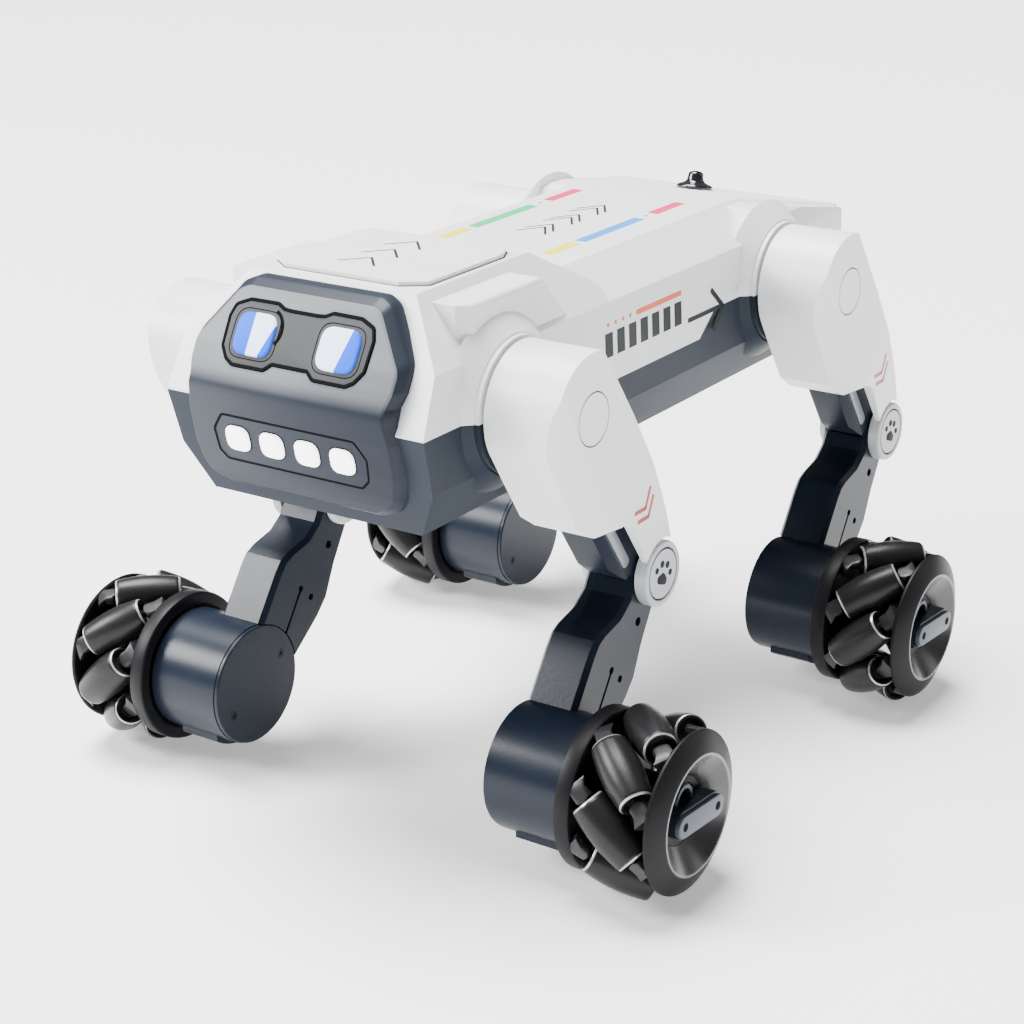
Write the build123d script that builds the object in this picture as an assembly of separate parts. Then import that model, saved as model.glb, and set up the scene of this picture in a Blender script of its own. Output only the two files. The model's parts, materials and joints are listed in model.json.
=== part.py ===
from build123d import *
import math
import os

# Quadruped robot dog on mecanum wheels.  Millimetres, +Z up, standing on z = 0.
# The head points to -Y, the dog's left side is +X, and x = 0 is the plane of symmetry.
# The origin is under the middle of the bounding box.

# ---------------------------------------------------------------- driving dimensions
WHEEL_BASE = 171.2            # front axle to rear axle
BASE_Y = -8.69                # middle between the axles, measured from the origin
FRONT_AXLE_Y = BASE_Y - WHEEL_BASE / 2
REAR_AXLE_Y = BASE_Y + WHEEL_BASE / 2
GAP = 0.4                     # clearance between pieces that move past each other
FIT = 0.06                    # radial clearance of a shaft in its bore

# joints of one leg, relative to its own wheel axle (y) and to the floor (z)
HIP_Y, HIP_Z = 3.9, 150.3
KNEE_Y, KNEE_Z = 50.5, 83.5
AXLE_Z = 30.0

# wheel
WHEEL_R = 30.0
WHEEL_X = 104.3               # middle plane of the rollers
ROLLERS = 8
ROLLER_TILT = 42.0            # degrees between a roller and the wheel axle
ROLLER_AXIS_R = 23.15         # distance from wheel axle to roller axle
ROLLER_HALF = 11.5
PIN_R = 1.3
DISH_R, DISH_X = 19.1, 122.1  # lip of the dished outer ring
COUPLER_X = 123.2             # outermost face, on the coupler plate
PLATE_T = 1.5
COUPLER_TURN = 4.0            # degrees the coupler has rolled from level
FLANGE_R = 26.8
FLANGE_X0, FLANGE_X1 = 85.4, 91.0
RING_X0 = 117.3               # inner face of the outer ring
DISH_FLOOR_X = 115.6
HUB_R = 9.5
DRIVE_R = 3.0

# leg
MOTOR_R = 21.45
MOTOR_X0, MOTOR_X1 = 55.4, 85.0
CAP_T = 1.6
SHIN_X0, SHIN_X1 = 55.4, 74.0
SLOT_X0, SLOT_X1 = 58.4, 70.9
FRAME_X0, FRAME_X1 = 58.9, 73.4
LUG_X1 = 70.4
KNEE_R = 10.0
KNEE_PIN_R = 3.0
KNEE_FOLD = 25.0              # degrees the shin can fold toward the thigh
PAW_R, PAW_X0, PAW_X1 = 11.2, 74.4, 78.6
DRUM_R, DRUM_X0 = 21.0, 55.6
COVER_X1, STRUT_X0 = 81.5, 76.6
HIP_AXLE_R = 4.0

# body
WALL = 2.0
REAR_Y = 143.0                      # from the middle between the axles
SEAM_Z = 149.8                      # joint between the shells at head and hips
SEAM_LOW_Z = 140.8                  # the same joint between the hips
STEP_IN_Y, STEP_OUT_Y = 37.0, 47.0  # where the joint climbs from one to the other
BOSS_R, BOSS_X = 22.0, 54.6
DECK_Z, HEAD_Z, BELLY_Z = 178.0, 187.0, 115.6
TAIL_Y, TAIL_Z = 92.0, 168.0        # the rear deck slopes from TAIL_Y down to TAIL_Z

LEGS = {
    "front_left": (FRONT_AXLE_Y, False, -1),
    "front_right": (FRONT_AXLE_Y, True, -1),
    "rear_left": (REAR_AXLE_Y, False, 1),
    "rear_right": (REAR_AXLE_Y, True, 1),
}

FROM_BASE = (Align.CENTER, Align.CENTER, Align.MIN)

os.makedirs("parts", exist_ok=True)


# ---------------------------------------------------------------- small helpers
def save(name, *solids):
    """Write one node: every solid given, each kept separate."""
    pieces = [piece for solid in solids for piece in solid.solids()]
    shape = pieces[0] if len(pieces) == 1 else Compound(children=pieces)
    export_step(shape, f"parts/{name}.step")


def along_x(points, x0, x1):
    """A plate with its outline in (y, z), between two x planes."""
    plane = Plane((x0, 0, 0), x_dir=(0, 1, 0), z_dir=(1, 0, 0))
    return extrude(plane * make_face(Polyline(*points, close=True)), x1 - x0)


def along_y(points, y0, y1):
    """A bar with its section in (x, z), between two y planes."""
    plane = Plane((0, y1, 0), x_dir=(1, 0, 0), z_dir=(0, -1, 0))
    return extrude(plane * make_face(Polyline(*points, close=True)), y1 - y0)


def mirrored(points):
    """Close a right-hand outline over x = 0."""
    return points + [(-x, z) for x, z in reversed(points)]


def disc_x(y, z, radius, x0, x1):
    """A cylinder along X."""
    circle = Plane((x0, y, z), x_dir=(0, 1, 0), z_dir=(1, 0, 0)) * Circle(radius)
    return extrude(circle, x1 - x0)


def box(x0, x1, y0, y1, z0, z1):
    middle = Pos((x0 + x1) / 2, (y0 + y1) / 2, (z0 + z1) / 2)
    return middle * Box(x1 - x0, y1 - y0, z1 - z0)


def both_sides(shape):
    return shape + mirror(shape, about=Plane.YZ)


def rounded(shape, edges, radius):
    """Round the given edges, falling back to a smaller radius where the full one does not fit."""
    for r in (radius, radius * 0.6, radius * 0.3):
        try:
            result = fillet(edges, r)
        except ValueError:
            continue
        if result.is_valid:
            return result
    return shape


# ---------------------------------------------------------------- body shape
# half sections in (x, z), from the deck down to the belly
SIDE_SECTION = [(48.6, 167.6), (50.3, 150.3), (49.5, 131.3), (41.4, BELLY_Z)]
HEAD_SECTION = [(32.0, HEAD_Z)] + SIDE_SECTION
TRUNK_SECTION = [(32.0, DECK_Z)] + SIDE_SECTION
# side outlines in (y, z), y from the middle between the axles
HEAD_SIDE = [
    (-43.0, HEAD_Z), (-102.7, HEAD_Z), (-117.0, 167.6), (-125.8, 150.3),
    (-120.8, 131.3), (-115.7, BELLY_Z), (-20.0, BELLY_Z), (-20.0, 173.2),
]
TRUNK_SIDE = [
    (-60.0, DECK_Z), (-60.0, BELLY_Z), (136.0, BELLY_Z), (REAR_Y, 131.3), (REAR_Y, TAIL_Z), (TAIL_Y, DECK_Z),
]
HIP_STATIONS = (-WHEEL_BASE / 2 + HIP_Y, WHEEL_BASE / 2 + HIP_Y)


def section_bar(points, inset, y0, y1):
    face = offset(make_face(Polyline(*mirrored(points), close=True)), -inset, kind=Kind.INTERSECTION)
    return extrude(Plane((0, y1, 0), x_dir=(1, 0, 0), z_dir=(0, -1, 0)) * face, y1 - y0)


def side_plate(points, inset, half_width):
    face = offset(make_face(Polyline(*points, close=True)), -inset, kind=Kind.INTERSECTION)
    return extrude(Plane((-half_width, 0, 0), x_dir=(0, 1, 0), z_dir=(1, 0, 0)) * face, 2 * half_width)


def core(inset=0.001):
    """The faceted head and trunk without bosses, drawn in by the inset on every face."""
    head = section_bar(HEAD_SECTION, inset, -130, 0) & side_plate(HEAD_SIDE, inset, 60)
    trunk = section_bar(TRUNK_SECTION, inset, -80, 150) & side_plate(TRUNK_SIDE, inset, 60)
    return head + trunk


def front_block():
    """Squared shoulder above the left front hip, with a chamfered front corner."""
    outline = [(-99.0, 160.0), (-99.0, 184.0), (-58.0, 184.0), (-43.0, 168.0), (-41.0, 160.0)]
    block = along_x(outline, 30.0, 47.3)
    front = block.edges().filter_by(Axis.Z).sort_by(Axis.X)[-1]
    block = chamfer(front, 4.0)
    return rounded(block, block.edges().filter_by(Axis.Y).group_by(Axis.Z)[-1].sort_by(Axis.X)[-1], 1.6)


def rear_block():
    """Squared shoulder above the left rear hip, sloping with the tail."""
    section = [(30.0, 178.0), (41.0, 178.0), (48.6, 172.6), (51.0, 165.0), (51.0, 152.0), (30.0, 152.0)]
    drop = (DECK_Z - TAIL_Z) / (REAR_Y - TAIL_Y)
    slope = [
        (60.0, 150.0), (84.0, DECK_Z - 1.2), (TAIL_Y, DECK_Z - 1.2),
        (REAR_Y, DECK_Z - 1.2 - drop * (REAR_Y - TAIL_Y)), (REAR_Y, 150.0),
    ]
    return along_y(section, 50.0, REAR_Y) & along_x(slope, 20.0, 60.0)


def hip_boss(y):
    """Flared boss that carries one left hip, ending in a round collar."""
    root_x = 46.0
    flare = Plane((root_x, y, HIP_Z), z_dir=(1, 0, 0)) * Cone(29.0, BOSS_R + 0.6, 7.0, align=FROM_BASE)
    return flare + disc_x(y, HIP_Z, BOSS_R, root_x, BOSS_X)


def body_outside():
    shape = core()
    for extra in (front_block(), rear_block(), *[hip_boss(y) for y in HIP_STATIONS]):
        shape += both_sides(extra)
    return shape


def seam_region():
    """Everything above the stepped joint between the shells."""
    outline = [
        (-150, SEAM_Z), (-STEP_OUT_Y, SEAM_Z), (-STEP_IN_Y, SEAM_LOW_Z), (STEP_IN_Y, SEAM_LOW_Z),
        (STEP_OUT_Y, SEAM_Z), (160, SEAM_Z), (160, 220), (-150, 220),
    ]
    return along_x(outline, -80, 80)


# ---------------------------------------------------------------- visor, lenses, hatch and button
EYE_TILT = math.atan(0.575)        # the eye plane leans back
MOUTH_TILT = math.atan(-0.2)       # the mouth plane leans in


def face_plane(y, z, tilt):
    """Plane of the visor at the height of the lenses, facing forward."""
    return Plane((0, y, z), x_dir=(1, 0, 0), z_dir=(0, -math.cos(tilt), math.sin(tilt)))


EYE_PLANE = face_plane(-121.1, 171.6, EYE_TILT)
MOUTH_PLANE = face_plane(-126.8, 139.0, MOUTH_TILT)
VISOR_OUTLINE = [
    (25.5, 185.0), (29.5, 183.0), (41.0, 168.0), (40.8, 161.5), (38.8, 155.5), (40.4, 147.0), (40.6, 136.0),
    (39.0, 128.0), (35.5, 123.6), (30.5, 122.0),
]
VISOR_SIDE = [(-95.0, 184.9), (-113.6, 184.9), (-130.3, 155.8), (-123.4, 121.6), (-95.0, 121.6)]
EYE_X, EYE_W, EYE_H = 16.3, 15.4, 14.0
LAMP_XS = (-20.6, -6.9, 6.9, 20.6)
LAMP_W, LAMP_H = 9.6, 8.8
LENS_DEPTH = 1.6
HATCH_TOP = 188.4
HATCH_FLOOR = 186.0
HATCH_OUTLINE = [
    (22.0, -98.4), (29.6, -93.0), (29.6, -53.5), (26.5, -47.0), (-26.5, -47.0), (-29.6, -53.5),
    (-29.6, -93.0), (-22.0, -98.4),
]
BUTTON_Y = 119.0
BUTTON_TRAVEL = 1.5
BUTTON_TILT = math.degrees(math.atan2(DECK_Z - TAIL_Z, REAR_Y - TAIL_Y))
BUTTON_Z = DECK_Z - (BUTTON_Y - TAIL_Y) * (DECK_Z - TAIL_Z) / (REAR_Y - TAIL_Y)
BUTTON_PLACE = Pos(0, BUTTON_Y, BUTTON_Z) * Rot(-BUTTON_TILT, 0, 0)
BUTTON_STEM_R, BUTTON_R = 3.0, 7.0
STEM_BOTTOM = 7.4                  # depth of the blind bore under the deck


def lens_holes(grow=0.0, depth=LENS_DEPTH):
    """The six lens blocks, sunk into the visor by their depth."""
    lenses = []
    for x in (-EYE_X, EYE_X):
        shape = EYE_PLANE * Pos(x, 0, 0) * RectangleRounded(EYE_W + grow, EYE_H + grow, 4.2)
        lenses.append(extrude(shape, -depth))
    for x in LAMP_XS:
        shape = MOUTH_PLANE * Pos(x, 0, 0) * RectangleRounded(LAMP_W + grow, LAMP_H + grow, 3.4)
        lenses.append(extrude(shape, -depth))
    return lenses


def visor(outside):
    shape = along_y(mirrored(VISOR_OUTLINE), -134.0, -96.0) & along_x(VISOR_SIDE, -60, 60)
    bend = shape.edges().filter_by(Axis.X).group_by(Axis.Y)[0]
    shape = rounded(shape, bend, 7.0)
    shape -= outside
    for hole in lens_holes():
        shape -= hole
    return shape.solids().sort_by(SortBy.VOLUME)[-1]


def hatch_prism(grow, z0, z1):
    face = offset(make_face(Polyline(*HATCH_OUTLINE, close=True)), grow, kind=Kind.INTERSECTION)
    return extrude(Pos(0, 0, z0) * face, z1 - z0)


def push_button():
    """Bell-shaped push button with a small nub, in the tail's own tilt."""
    profile = Polyline(
        (0, -5.5), (BUTTON_STEM_R, -5.5), (BUTTON_STEM_R, 0.25), (BUTTON_R, 0.25), (6.4, 1.9), (3.3, 2.7),
        (2.9, 5.4), (2.2, 6.6), (0, 6.9), close=True,
    )
    return BUTTON_PLACE * revolve(make_face(Plane.XZ * profile), Axis.Z)


def button_well():
    """Counterbore for the collar and blind bore for the stem."""
    collar = Pos(0, 0, -BUTTON_TRAVEL - 0.1) * Cylinder(BUTTON_R + GAP, 5.0, align=FROM_BASE)
    stem = Pos(0, 0, -STEM_BOTTOM) * Cylinder(BUTTON_STEM_R + FIT, 15.0, align=FROM_BASE)
    return BUTTON_PLACE * (collar + stem)


def button_seat():
    """Thickening under the deck that guides the stem."""
    return BUTTON_PLACE * Pos(0, 0, -STEM_BOTTOM - 2) * Cylinder(BUTTON_R + 2.0, STEM_BOTTOM + 1.5, align=FROM_BASE)


# ---------------------------------------------------------------- inner parts
SERVO_X0, SERVO_X1 = 22.0, 46.0


def servo(y):
    """One left hip servo: case, mounting ears and an output boss with its bore."""
    case = box(SERVO_X0, SERVO_X1 - 3, y - 10, y + 28, HIP_Z - 10, HIP_Z + 10)
    ears = box(SERVO_X0 + 13, SERVO_X0 + 15.5, y - 16, y + 34, HIP_Z - 10, HIP_Z + 10)
    boss = disc_x(y, HIP_Z, 7.0, SERVO_X1 - 4, SERVO_X1)
    bore = disc_x(y, HIP_Z, HIP_AXLE_R + FIT, SERVO_X1 - 12, SERVO_X1 + 1)
    screws = [disc_x(y + dy, HIP_Z, 1.6, SERVO_X0 + 10, SERVO_X0 + 18) for dy in (-13.0, 31.0)]
    return case + ears + boss - bore - screws[0] - screws[1]


def circuit_board():
    """Main board with its processor, connectors and coils, each a separate solid."""
    top = 148.0
    board = box(-30, 30, -25, 62, top - 1.6, top)
    parts = [board]
    parts.append(box(-7, 7, 3, 17, top, top + 1.2))
    parts.append(box(-11, 11, 49, 55, top, top + 6.0))
    for x in (-18, 18):
        parts.append(box(x - 4.5, x + 4.5, 34, 46, top, top + 3.0))
    for x in (-24, -8, 8, 24):
        parts.append(box(x - 4, x + 4, -22, -16, top, top + 6.0))
    return parts


# ---------------------------------------------------------------- leg
def leg_plane(y, z, to_y, to_z):
    """Plane at one joint: local x runs to the next joint, local y is backward, normal outward."""
    return Plane((0, y, z), x_dir=(0, to_y - y, to_z - z), z_dir=(1, 0, 0))


THIGH = leg_plane(HIP_Y, HIP_Z, KNEE_Y, KNEE_Z)
SHIN = leg_plane(KNEE_Y, KNEE_Z, 0, AXLE_Z)
THIGH_LENGTH = math.hypot(KNEE_Y - HIP_Y, KNEE_Z - HIP_Z)
SHIN_LENGTH = math.hypot(KNEE_Y, AXLE_Z - KNEE_Z)


def slab(plane, outline, x0, x1):
    """A closed line on a leg plane, thickened between two x planes."""
    return extrude(plane.offset(x0) * make_face(outline), x1 - x0)


def round_slab(plane, along, back, radius, x0, x1):
    return extrude(plane.offset(x0) * (Pos(along, back) * Circle(radius)), x1 - x0)


def frame_outline():
    """Side outline of the thigh frame, from behind the hip axle to the knee."""
    return Polyline(
        (-12.0, -9.0), (-9.0, -12.0), (30.0, -13.2), (64.0, -13.4), (73.5, -10.4), (84.0, 0), (84.0, 8.0), (62.0, 9.5),
        (-9.0, 11.5), (-12.0, 9.0), close=True,
    )


def cover_outline():
    """Outer outline of the thigh cover: a drum that tapers to a strut at the knee."""
    r = DRUM_R
    back = 16.0
    start = (-math.sqrt(r * r - back * back), back)
    arc = ThreePointArc((0, -r), (-r, 0), start)
    rim = PAW_R + 1.2
    cut_in = (THIGH_LENGTH - math.sqrt(rim * rim - 4.2 * 4.2), -4.2)
    cut_out = (THIGH_LENGTH - math.sqrt(rim * rim - 11.2 * 11.2), 11.2)
    cut_mid = (THIGH_LENGTH - rim * math.cos(0.3), rim * math.sin(0.3))
    down = Polyline(start, (18.0, back), (56.0, 14.0), (66.0, 13.0), cut_out)
    concave = ThreePointArc(cut_out, cut_mid, cut_in)
    up = Polyline(cut_in, (50.0, -4.2), (46.0, -6.2), (43.0, -8.6), (37.0, -18.8), (28.0, -22.2), (12.0, -21.6), (0, -r))
    return arc + down + concave + up


def thigh_cover():
    """White outer cover: a hollow drum with a strut that reaches the knee."""
    shell = slab(THIGH, cover_outline(), DRUM_X0, COVER_X1)
    # the outer face leans in toward the knee
    lean = [(40.0, COVER_X1), (110.0, COVER_X1 - 7.2), (110.0, COVER_X1 + 5), (40.0, COVER_X1 + 5)]
    side_view = Plane(THIGH.origin, x_dir=THIGH.x_dir, z_dir=THIGH.y_dir * -1)
    shell -= extrude(side_view * make_face(Polyline(*lean, close=True)), 40, both=True)
    # long facet along the front edge of the outer face
    front_view = Plane(THIGH.origin, x_dir=THIGH.y_dir, z_dir=THIGH.x_dir)
    facet = [
        (-8.7, COVER_X1), (-22.5, COVER_X1 - 5.0), (-30.0, COVER_X1 - 5.0), (-30.0, COVER_X1 + 5),
        (-8.7, COVER_X1 + 5),
    ]
    knee_end = round_slab(THIGH, 70.0, 0, 26.0, 60, 90)
    shell -= extrude(front_view * make_face(Polyline(*facet, close=True)), 60, both=True) - knee_end
    # room inside the drum, and behind the strut
    room = Polyline(
        (44.0, -7.5), (38.0, -15.5), (28.0, -19.6), (0, -18.6), (-13.0, -13.0), (-18.6, 0), (-13.0, 13.0),
        (16.0, 13.8), (44.0, 12.6), close=True,
    )
    shell -= slab(THIGH, room, DRUM_X0 - 1, PAW_X0)
    behind = Polyline((43.0, -30), (43.0, 30), (100, 30), (100, -30), close=True)
    shell -= slab(THIGH, behind, DRUM_X0 - 1, STRUT_X0)
    # the front wall is notched where the frame leaves the drum
    notch = offset(make_face(frame_outline()), GAP, kind=Kind.INTERSECTION)
    shell -= extrude(THIGH.offset(DRUM_X0 - 1) * notch, FRAME_X1 + GAP - DRUM_X0 + 1)
    return shell - ring_groove(0, COVER_X1)


def ring_groove(along, face_x):
    """Fine ring cut into a round cap, at a distance along the thigh."""
    ring = Pos(along, 0) * (Circle(8.7) - Circle(8.2))
    return extrude(THIGH.offset(face_x - 0.5) * ring, 10.0)


def paw_caps():
    """Outer embossed cap and plain inner cap that close the knee pin."""
    outer = round_slab(THIGH, THIGH_LENGTH, 0, PAW_R, PAW_X0, PAW_X1)
    outer = rounded(outer, outer.edges().group_by(Axis.X)[-1], 0.8)
    outer -= ring_groove(THIGH_LENGTH, PAW_X1)
    outer -= round_slab(THIGH, THIGH_LENGTH, 0, KNEE_PIN_R, PAW_X0 - 1, PAW_X0 + 2)
    inner = round_slab(THIGH, THIGH_LENGTH, 0, 9.0, SHIN_X0 - 3.0, SHIN_X0 - GAP)
    inner = rounded(inner, inner.edges().group_by(Axis.X)[0], 0.8)
    inner -= round_slab(THIGH, THIGH_LENGTH, 0, KNEE_PIN_R, SHIN_X0 - 2.0, SHIN_X0)
    return [outer, inner]


def thigh_frame():
    """Dark structural frame from the hip axle to the knee lug, with a pale insert strip."""
    wide = slab(THIGH, frame_outline(), FRAME_X0, FRAME_X1)
    wide -= round_slab(THIGH, THIGH_LENGTH, 0, KNEE_R + 0.7, 50, 90)
    beyond = Polyline((78.0, -30), (78.0, 30), (110, 30), (110, -30), close=True)
    wide -= slab(THIGH, beyond, 50, 90)
    # long bevel on the outer front edge, and the shallow bed of the insert
    front_view = Plane(THIGH.origin, x_dir=THIGH.y_dir, z_dir=THIGH.x_dir)
    bevel = Polyline((-10.6, FRAME_X1), (-10.6, FRAME_X1 + 1), (-20, FRAME_X1 + 1), (-20, FRAME_X1 - 3),
                     (-13.5, FRAME_X1 - 3), close=True)
    wide -= extrude(front_view * make_face(bevel), THIGH_LENGTH, both=True)
    strip = extrude(THIGH.offset(FRAME_X1 - 1.0) * (Pos(56.6, -8.0) * SlotOverall(21.0, 3.8)), 1.4)
    wide -= strip
    # the lug stands between the cheeks of the shin
    lug = round_slab(THIGH, THIGH_LENGTH, 0, 8.8, FRAME_X0, LUG_X1)
    neck = Polyline((66, -8.5), (66, 8.5), (THIGH_LENGTH, 8.5), (THIGH_LENGTH, -8.5), close=True)
    lug += slab(THIGH, neck, FRAME_X0, LUG_X1)
    axle = round_slab(THIGH, 0, 0, HIP_AXLE_R, SERVO_X1 - 11, FRAME_X0)
    hub = round_slab(THIGH, 0, 0, 13.0, BOSS_X + GAP, FRAME_X0)
    frame = wide + lug + axle + hub
    # room for the solid part of the shin all the way to the folded knee
    shank = offset(make_face(shin_outline()), GAP, kind=Kind.INTERSECTION)
    shank -= Pos(-5.4, 0) * Rectangle(20, 60)
    sweep = extrude(SHIN.offset(50) * shank, 40)
    for step in range(6):
        fold = Pos(0, KNEE_Y, KNEE_Z) * Rot(-KNEE_FOLD * step / 5, 0, 0) * Pos(0, -KNEE_Y, -KNEE_Z)
        frame -= fold * sweep
    frame -= round_slab(THIGH, THIGH_LENGTH, 0, KNEE_PIN_R, 50, 90)
    pin = round_slab(THIGH, THIGH_LENGTH, 0, KNEE_PIN_R, SHIN_X0 - 2.0, PAW_X0 + 2)
    return [frame.solids().sort_by(SortBy.VOLUME)[-1], strip, pin]


def shin_outline():
    """Knee eye, slim neck, shoulder, then a straight shank that runs into the motor housing."""
    eye = ThreePointArc((3.0, 9.54), (-KNEE_R, 0), (6.0, -8.0))
    front = Polyline(
        (6.0, -8.0), (13.0, -6.4), (20.0, -7.8), (28.0, -13.0), (32.0, -14.6), (37.0, -14.4),
        (SHIN_LENGTH, -9.0),
    )
    back = Polyline(
        (SHIN_LENGTH, -9.0), (SHIN_LENGTH, 12.0), (40.0, 17.2), (32.0, 17.2), (20.0, 13.2), (3.0, 9.54),
    )
    return eye + front + back


def shin():
    leg = slab(SHIN, shin_outline(), SHIN_X0, SHIN_X1)
    for side in (0, -1):
        rim = leg.faces().filter_by(Axis.X).sort_by(Axis.X)[side].edges()
        shank = rim.filter_by(lambda e: (e.center() - SHIN.origin).dot(SHIN.x_dir) < SHIN_LENGTH - 1)
        leg = chamfer(shank, 1.6)
    leg -= round_slab(SHIN, SHIN_LENGTH, 0, MOTOR_R, 50, 90)
    leg -= round_slab(SHIN, 0, 0, KNEE_R + 0.8, SLOT_X0, SLOT_X1)
    opening = Polyline((-20, -20), (-20, 20), (5.0, 20), (5.0, -20), close=True)
    leg -= slab(SHIN, opening, SLOT_X0, SLOT_X1)
    leg -= round_slab(SHIN, 0, 0, KNEE_PIN_R + FIT, 50, 90)
    # round holes and the keyhole slot on both side faces
    for x0, x1 in ((SHIN_X1 - 2.0, 90), (50, SHIN_X0 + 2.0)):
        leg -= round_slab(SHIN, 16.5, 4.5, 1.5, x0, x1)
        leg -= round_slab(SHIN, 36.0, 7.6, 1.2, x0, x1)
        leg -= round_slab(SHIN, 36.0, 0.4, 1.2, x0, x1)
        leg -= slab(SHIN, Polyline((36.0, 0.0), (36.0, 1.0), (52.5, 3.6), (52.5, 2.6), close=True), x0, x1)
    return leg.solids().sort_by(SortBy.VOLUME)[-1]


# ---------------------------------------------------------------- wheel motor
def wheel_motor():
    """Housing with a foot pad, end cap with two screws, and the motor can inside."""
    z = AXLE_Z
    housing = disc_x(0, z, MOTOR_R, MOTOR_X0 + CAP_T, MOTOR_X1)
    pad = disc_x(0, z, MOTOR_R + 1.8, 63.0, 79.0) & box(63, 79, -14, 14, 0, z - 12)
    housing += pad
    housing -= disc_x(0, z, MOTOR_R - WALL, MOTOR_X0, MOTOR_X1 - WALL)
    housing += disc_x(0, z, 6.0, MOTOR_X1 - 8, MOTOR_X1)
    housing -= disc_x(0, z, DRIVE_R + FIT, 50, 90)
    cap = disc_x(0, z, MOTOR_R - 0.3, MOTOR_X0, MOTOR_X0 + CAP_T)
    cap = rounded(cap, cap.edges().group_by(Axis.X)[0], 0.5)
    screws = []
    for y, dz in ((13.0, 7.0), (-13.0, -7.0)):
        cap -= disc_x(y, z + dz, 1.7, 50, 60)
        screws.append(disc_x(y, z + dz, 1.7, MOTOR_X0 + 0.6, MOTOR_X0 + CAP_T))
    can = disc_x(0, z, 13.0, MOTOR_X0 + CAP_T, MOTOR_X1 - 16)
    return [housing, cap, can, *screws]


# ---------------------------------------------------------------- wheel
def roller_plane(k, hand):
    """Plane through the middle of roller k, local z along its axle, pointing outward."""
    phi = math.radians(360.0 / ROLLERS * k)
    tilt = math.radians(ROLLER_TILT)
    radial = Vector(0, math.sin(phi), math.cos(phi))
    tangent = Vector(0, math.cos(phi), -math.sin(phi)) * hand
    axle = Vector(1, 0, 0) * math.cos(tilt) + tangent * math.sin(tilt)
    return Plane(Vector(WHEEL_X, 0, AXLE_Z) + radial * ROLLER_AXIS_R, x_dir=radial, z_dir=axle)


def roller(k, hand):
    """Barrel roller whose middle line follows the tread circle."""
    sine = math.sin(math.radians(ROLLER_TILT))
    mid = WHEEL_R - ROLLER_AXIS_R
    end = WHEEL_R - math.hypot(ROLLER_AXIS_R, ROLLER_HALF * sine)
    bore = PIN_R + FIT
    tread = ThreePointArc((end, -ROLLER_HALF), (mid, 0), (end, ROLLER_HALF))
    rest = Polyline((end, ROLLER_HALF), (bore, ROLLER_HALF), (bore, -ROLLER_HALF), (end, -ROLLER_HALF))
    return roller_plane(k, hand) * revolve(Plane.XZ * make_face(tread + rest), Axis.Z)


def bracket_arm(place, face_x):
    """Tapered arm from just past a roller's end to a plane square to the wheel axle."""
    reach = (face_x - WHEEL_X) / math.cos(math.radians(ROLLER_TILT))
    length = abs(reach) - ROLLER_HALF - GAP
    cone = Pos(0, 0, ROLLER_HALF + GAP) * Cone(3.0, 2.3, length, align=FROM_BASE)
    return place * (cone if reach > 0 else Rot(180, 0, 0) * cone)


def wheel_hub(hand):
    """Flanged hub with a dished outer ring, bracket arms, drive axle, coupler and roller pins."""
    profile = Polyline(
        (70.0, 0), (70.0, DRIVE_R), (88.6, DRIVE_R), (88.6, 20.0), (FLANGE_X0, 22.6), (FLANGE_X0, FLANGE_R),
        (FLANGE_X1 - 0.6, FLANGE_R), (FLANGE_X1, FLANGE_R - 1.0), (FLANGE_X1, HUB_R), (113.0, HUB_R),
        (RING_X0, 14.5), (RING_X0, FLANGE_R - 0.6), (118.5, FLANGE_R), (DISH_X, DISH_R + 0.5),
        (DISH_X, DISH_R), (DISH_FLOOR_X, 10.4), (DISH_FLOOR_X, 0), close=True,
    )
    centre = Pos(0, 0, AXLE_Z)
    hub = centre * revolve(Plane.XZ * make_face(profile), Axis.X)
    places = [roller_plane(k, hand) for k in range(ROLLERS)]
    pins = [place * Cylinder(PIN_R, 2 * ROLLER_HALF + 4.0) for place in places]
    for place in places:
        arms = bracket_arm(place, FLANGE_X1 - 0.5) + bracket_arm(place, RING_X0 + 0.5)
        hub += arms & disc_x(0, AXLE_Z, FLANGE_R - 0.2, 80, 120)
    for pin in pins:
        hub -= pin
    turn = centre * Rot(-COUPLER_TURN, 0, 0)
    plate_x = COUPLER_X - PLATE_T
    block = turn * box(DISH_FLOOR_X, plate_x, -12.4, 12.4, -5.2, 5.2) & centre * disc_x(0, 0, 11.9, 100, 130)
    plate_plane = Plane((plate_x, 0, 0), x_dir=(0, 1, 0), z_dir=(1, 0, 0))
    plate = SlotOverall(27.6, 7.4) - Pos(10, 0) * Circle(1.4) - Pos(-10, 0) * Circle(1.4)
    return [hub, block, turn * extrude(plate_plane * plate, PLATE_T), *pins]


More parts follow.
